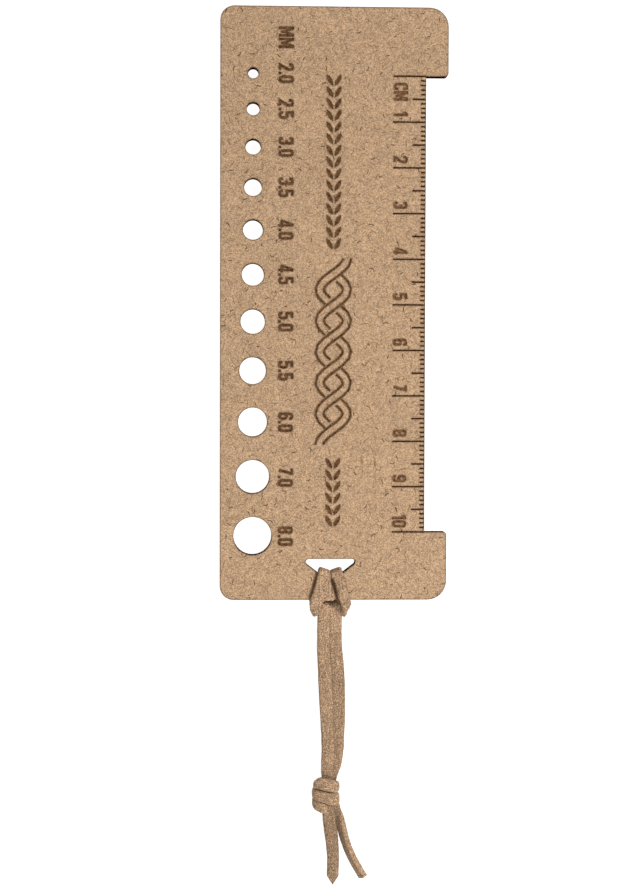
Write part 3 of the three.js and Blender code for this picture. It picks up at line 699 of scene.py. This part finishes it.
RIGHT_STRAP = [
    ((2.55, 6.7, -0.15), (0.02, 6.1, -0.15), 0.9, -0.1),
    ((3.1, 5.5, 0), (0.28, 5.1, 0), 0.95, -0.4),
    ((3.5, 4.1, 0), (1.05, 3.9, 0), 0.98, -0.62),
    ((3.85, 2.2, 0), (1.5, 2.1, 0), 1.0, -0.65),
    ((4.45, 0.45, 0), (1.9, 0.25, 0), 1.0, -0.6),
    ((4.65, -0.6, -0.1), (2.25, -0.7, 0), 1.0, -0.4),
    ((4.2, -1.3, -0.6), (2.75, -1.85, -0.2), 1.0, -0.15),
    ((3.45, -2.1, -1.5), (2.95, -2.9, -0.8), 0.95, 0),
    ((3.35, -2.9, -2.7), (2.75, -3.7, -2.0), 0.85, 0),
    ((3.4, -2.1, -4.2), (2.7, -3.8, -3.8), 0.8, 0),
]

# The left strap is folded down over the board's edge where it doesn't go on into its ear. A row is
# (x, y, z, width, tone) in the board's frame, with x from the middle out. The tone holds a painted highlight
# along the fold and painted shade where the flap turns down.
FLAP_THICKNESS = 0.95
FLAP_WALL = 0.8
FLAP = [
    (0.4, EDGE + 2.4, FACE - 0.15, 1.9, 1.0),
    (0.2, EDGE + 1.3, FACE + 0.1, 2.1, 1.04),
    (0.15, EDGE + 0.75, FACE + 0.12, 2.15, 1.2),
    (0.15, EDGE + 0.36, FACE - 0.15, 2.15, 1.15),
    (0.15, EDGE + 0.24, FACE - 0.55, 2.1, 0.7),
]


def flap_stations():
    made = []
    for x, y, z, width, tone in FLAP:
        centre, direction = on_board((SLOT_X - x, y, z), (-1, 0, 0))
        made.append(Station(centre, direction, width, FLAP_THICKNESS, tone, 0, FLAP_WALL))
    return made


# The strands and the tails, from the hitch on. A row is (x, y, z, roll in degrees, width, tone), with x from
# the slot's middle, y from the board's lower edge and z from the table.

TABLE_GAP = 0.02
TABLE_LEVEL = LACE_THICKNESS / 2 + TABLE_GAP
STACK_STEP = 0.78
STACK_UP = KNOT_HALF_HEIGHT + STACK_STEP
STACK_DOWN = KNOT_HALF_HEIGHT - STACK_STEP
ON_EDGE = LACE_WIDTH / 2 - 0.025
TAIL_START = -KNOT_TOP - KNOT_LENGTH - SEAT_GAP
TIP_LENGTH = 1.9
TIP_WIDTH = 0.12

LEFT_LEG = [
    (-1.3, -8.4, 1.75, 0, 2.86, 0.94),
    (-1.23, -11, 1.05, 0, 2.98, 0.93),
    (-1, -15, TABLE_LEVEL, 0, 3.02, 0.92),
    (-0.82, -18, TABLE_LEVEL, 0, 3.16, 0.92),
    (-0.59, -23, TABLE_LEVEL, 0, 3.14, 0.92),
    (-0.42, -27.5, 0.95, 2, 2.92, 0.92),
    (-0.3, -31, 1.75, 4, 2.86, 0.92),
    (-0.33, -33.9, 3.05, 4, 2.75, 0.92),
    (-0.43, -36.4, STACK_UP - 0.07, 2, 2.75, 0.9),
    (-0.45, -38.4, STACK_UP - 0.1, 0, 2.75, 0.78),
    (-0.2, -42, KNOT_HALF_HEIGHT + 0.4, 0, 2.4, 0.7),
    (-0.2, TAIL_START, STACK_UP - 0.15, 0, 2.65, 0.72),
    (-0.05, -48.6, 3.3, 0, 2.75, 0.74),
    (0.22, -50.6, 2.5, 0, 2.9, 0.73),
    (0.58, -53, 1.25, 0, 2.95, 0.72),
    (0.9, -55.6, 0.8, 0, 2.8, 0.72),
    (1.08, -58.5, TABLE_LEVEL, 0, 2.62, 0.73),
    (1.04, -61.5, TABLE_LEVEL, 0, 2.6, 0.75),
    (0.97, -64.5, TABLE_LEVEL, 0, 2.55, 0.76),
]
RIGHT_LEG = [
    (1.32, -8.4, 1.75, 0, 2.84, 0.88),
    (1.45, -11, 1.05, 0, 2.9, 0.84),
    (1.78, -15, TABLE_LEVEL, 0, 3.02, 0.82),
    (2, -18, TABLE_LEVEL, 0, 3.02, 0.8),
    (2.15, -23, TABLE_LEVEL, 0, 2.95, 0.8),
    (2.2, -27.5, TABLE_LEVEL, 0, 2.85, 0.8),
    (2.11, -30.5, TABLE_LEVEL, -2, 2.82, 0.8),
    (1.98, -33.5, 0.85, -4, 2.72, 0.8),
    (1.7, -35.8, 1.6, -2, 2.7, 0.8),
    (1.3, -37.4, STACK_DOWN - 0.05, 0, 2.65, 0.78),
    (1.0, -38.4, STACK_DOWN, 0, 2.5, 0.72),
    (0.3, -42, KNOT_HALF_HEIGHT - 0.5, 0, 2.4, 0.7),
    (1.3, TAIL_START, STACK_DOWN + 0.2, 12, 2.6, 0.66),
    (1.55, -47.9, 2.3, 22, 2.65, 0.68),
    (2.07, -49.1, 1.95, 38, 2.65, 0.68),
    (2.6, -50.6, 1.6, 54, 2.65, 0.68),
    (3.1, -52.2, ON_EDGE, 62, 2.6, 0.68),
    (3.7, -54.4, ON_EDGE, 64, 2.6, 0.7),
    (4.85, -57.4, ON_EDGE, 64, 2.6, 0.72),
    (6.13, -60, ON_EDGE, 64, 2.5, 0.74),
    (7.76, -62.7, ON_EDGE, 62, 2.5, 0.76),
]

# The tone of the sides: painted shade makes the left side of the lace darker there, and a painted highlight
# lightens a rolled side
LEFT_SIDE_SHADE = 0.74
ROLLED_SIDE_HIGHLIGHT = 0.45


def leg_stations(side):
    """One side of the lace from the hitch to its tip, over the table."""
    rows = LEFT_LEG if side < 0 else RIGHT_LEG
    flat_wall = LEFT_SIDE_SHADE if side < 0 else STRAND_WALL
    made = []
    for i, (x, y, z, roll, width, tone) in enumerate(rows):
        before = rows[max(i - 1, 0)]
        after = rows[min(i + 1, len(rows) - 1)]
        heading = Vector((after[0] - before[0], after[1] - before[1])).normalized()
        angle = roll * DEGREE
        across = np.array((-heading.y * math.cos(angle), heading.x * math.cos(angle), math.sin(angle))) * side
        wall = flat_wall + ROLLED_SIDE_HIGHLIGHT * abs(math.sin(angle))
        centre = np.array((SLOT_X + x, y - HALF_LENGTH, z))
        made.append(Station(centre, across, width, LACE_THICKNESS, tone, 0, wall))
    return made


def whole_lace():
    """The lace as one route, from the left tail's tip through the hitch to the right tail's end."""
    left = hitch_half(-1, LEFT_IN_SLOT, LEFT_STRAP)
    right = hitch_half(1, RIGHT_IN_SLOT, RIGHT_STRAP)
    sections = even_sections(leg_stations(-1)[::-1] + left + right[::-1] + leg_stations(1))
    to_tip = sections["along"] / TIP_LENGTH
    full = sections["width"].copy()
    sections["width"] = np.where(to_tip < 1, TIP_WIDTH + to_tip * (full - TIP_WIDTH), full)
    return sections


# The knot: one lace wound round the two strands

KNOT_OFFSET = -0.73
KNOT_HALF_WIDTH = 3.1
KNOT_TONE = 0.93
# The sides of the turns, where they meet, are darker with painted shade
KNOT_SIDE_SHADE = 0.6
KNOT_ROUNDNESS = 3.2

# The ends are tucked in, over a few steps of the winding
KNOT_TUCK = 0.3
TUCK_STEPS = 4
TURN_STEP = 15

# The turn in degrees from the knot's left side over its top, how far below the knot's top, and the width
WINDING = [
    (-30, 3.1, 1.0),
    (0, 2.95, 1.3),
    (20, 2.75, 1.6),
    (40, 2.3, 2.4),
    (62, 2.12, 2.85),
    (90, 2.35, 3.0),
    (140, 2.95, 2.8),
    (165, 3.05, 2.4),
    (180, 3.1, 2.1),
    (270, 3.85, 2.4),
    (360, 4.7, 2.3),
    (380, 4.78, 2.5),
    (432, 5.05, 2.6),
    (468, 5.55, 2.7),
    (515, 5.9, 3.1),
    (540, 5.95, 2.8),
    (630, 6.3, 2.4),
    (720, 6.7, 2.0),
    (740, 6.95, 2.2),
    (762, 7.35, 2.3),
    (780, 7.65, 2.3),
    (812, 7.9, 2.2),
]


def winding_stations():
    """The lace wound round the two strands, from the knot's top to its lower left."""
    reach_x = KNOT_HALF_WIDTH - PINCH_THICKNESS / 2
    reach_z = KNOT_HALF_HEIGHT - PINCH_THICKNESS / 2
    turns, depths, widths = zip(*WINDING)
    count = round((turns[-1] - turns[0]) / TURN_STEP)
    made = []
    for i in range(count + 1):
        angle = turns[0] + i / count * (turns[-1] - turns[0])
        from_end = min(i, count - i) / TUCK_STEPS
        tuck = 1 - KNOT_TUCK * (1 - min(from_end, 1))
        out = -reach_x * tuck * math.cos(angle * DEGREE)
        y = -HALF_LENGTH - KNOT_TOP - np.interp(angle, turns, depths)
        z = KNOT_HALF_HEIGHT + reach_z * tuck * math.sin(angle * DEGREE)
        centre = np.array((SLOT_X + KNOT_OFFSET + out, y, z))
        width = np.interp(angle, turns, widths)
        made.append(Station(centre, np.array((0, -1, 0)), width, PINCH_THICKNESS, KNOT_TONE, 0, KNOT_SIDE_SHADE))
    return made


# The distance below the board's lower edge where the lace is cut into the hitch and its two legs
SEAM = 8.3


def make_lace():
    suede = suede_material()
    lace = whole_lace()
    free = np.nonzero(lace["centre"][:, 1] > -HALF_LENGTH - SEAM)[0]
    first, last = int(free[0]), int(free[-1])
    ribbon = make_ribbon(part_of(lace, first, last))
    flap = make_ribbon(even_sections(flap_stations()))
    hitch = ribbon_object("suede_hitch", [ribbon, flap], suede)
    winding = make_ribbon(even_sections(winding_stations()), KNOT_ROUNDNESS)
    knot = ribbon_object("suede_knot", [winding], suede)
    left_part = part_of(lace, 0, first)
    right_part = part_of(lace, last, len(lace["centre"]) - 1)
    left = ribbon_object("suede_leg_left", [make_ribbon(left_part)], suede)
    right = ribbon_object("suede_leg_right", [make_ribbon(right_part)], suede)
    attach(knot, "lace")
    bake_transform(hitch)
    legs = [(left, left_part["centre"][::-1], [hitch, knot]), (right, right_part["centre"], [])]
    for leg, centres, with_pieces in legs:
        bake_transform(leg)
    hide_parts("lace_hitch", "lace_neck_left", "lace_neck_right")
    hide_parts("lace_knot")
    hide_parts("strand_left", "tail_left")
    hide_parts("strand_right", "tail_right")


def dress_board():
    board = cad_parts["board"]
    board.data.materials.clear()
    board.data.materials.append(fibreboard_material())


# The table and the light

TABLE_REACH = 3.0

# The table glows, so that it stays plain and white under the soft light
TABLE_SURFACE = {
    "Base Color": (0.3, 0.3, 0.3, 1),
    "Roughness": 0.9,
    "Specular IOR Level": 0.0,
    "Emission Color": (1, 1, 1, 1),
    "Emission Strength": 0.95,
}

# A light is (name, place, size, power in watts)
LIGHT_TARGET = (0, -0.03, 0)
LIGHTS = [
    ("key", (0.36, 0.13, 0.5), 0.16, 2.5),
    ("fill", (0.04, -0.3, 0.36), 0.3, 1.1),
]
WORLD_COLOUR = (1, 1, 1, 1)
WORLD_STRENGTH = 0.2


def make_stage():
    r = TABLE_REACH
    mesh = bpy.data.meshes.new("table")
    mesh.from_pydata([(-r, -r, 0), (r, -r, 0), (r, r, 0), (-r, r, 0)], [], [(0, 1, 2, 3)])
    mesh.materials.append(Shader("white_table", TABLE_SURFACE).material)
    floor = bpy.data.objects.new("table", mesh)
    bpy.context.scene.collection.objects.link(floor)


def area_light(name, place, size, power):
    data = bpy.data.lights.new(name, "AREA")
    data.shape = "DISK"
    data.size = size
    data.energy = power
    light = bpy.data.objects.new(name, data)
    light.location = place
    light.rotation_euler = (Vector(LIGHT_TARGET) - Vector(place)).to_track_quat("-Z", "Y").to_euler()
    bpy.context.scene.collection.objects.link(light)


def make_light():
    world = bpy.data.worlds.new("studio")
    world.use_nodes = True
    background = world.node_tree.nodes["Background"]
    background.inputs["Color"].default_value = WORLD_COLOUR
    background.inputs["Strength"].default_value = WORLD_STRENGTH
    bpy.context.scene.world = world
    for light in LIGHTS:
        area_light(*light)


make_camera()
make_lace()
dress_board()
make_stage()
make_light()
bpy.context.scene.view_settings.view_transform = "Standard"
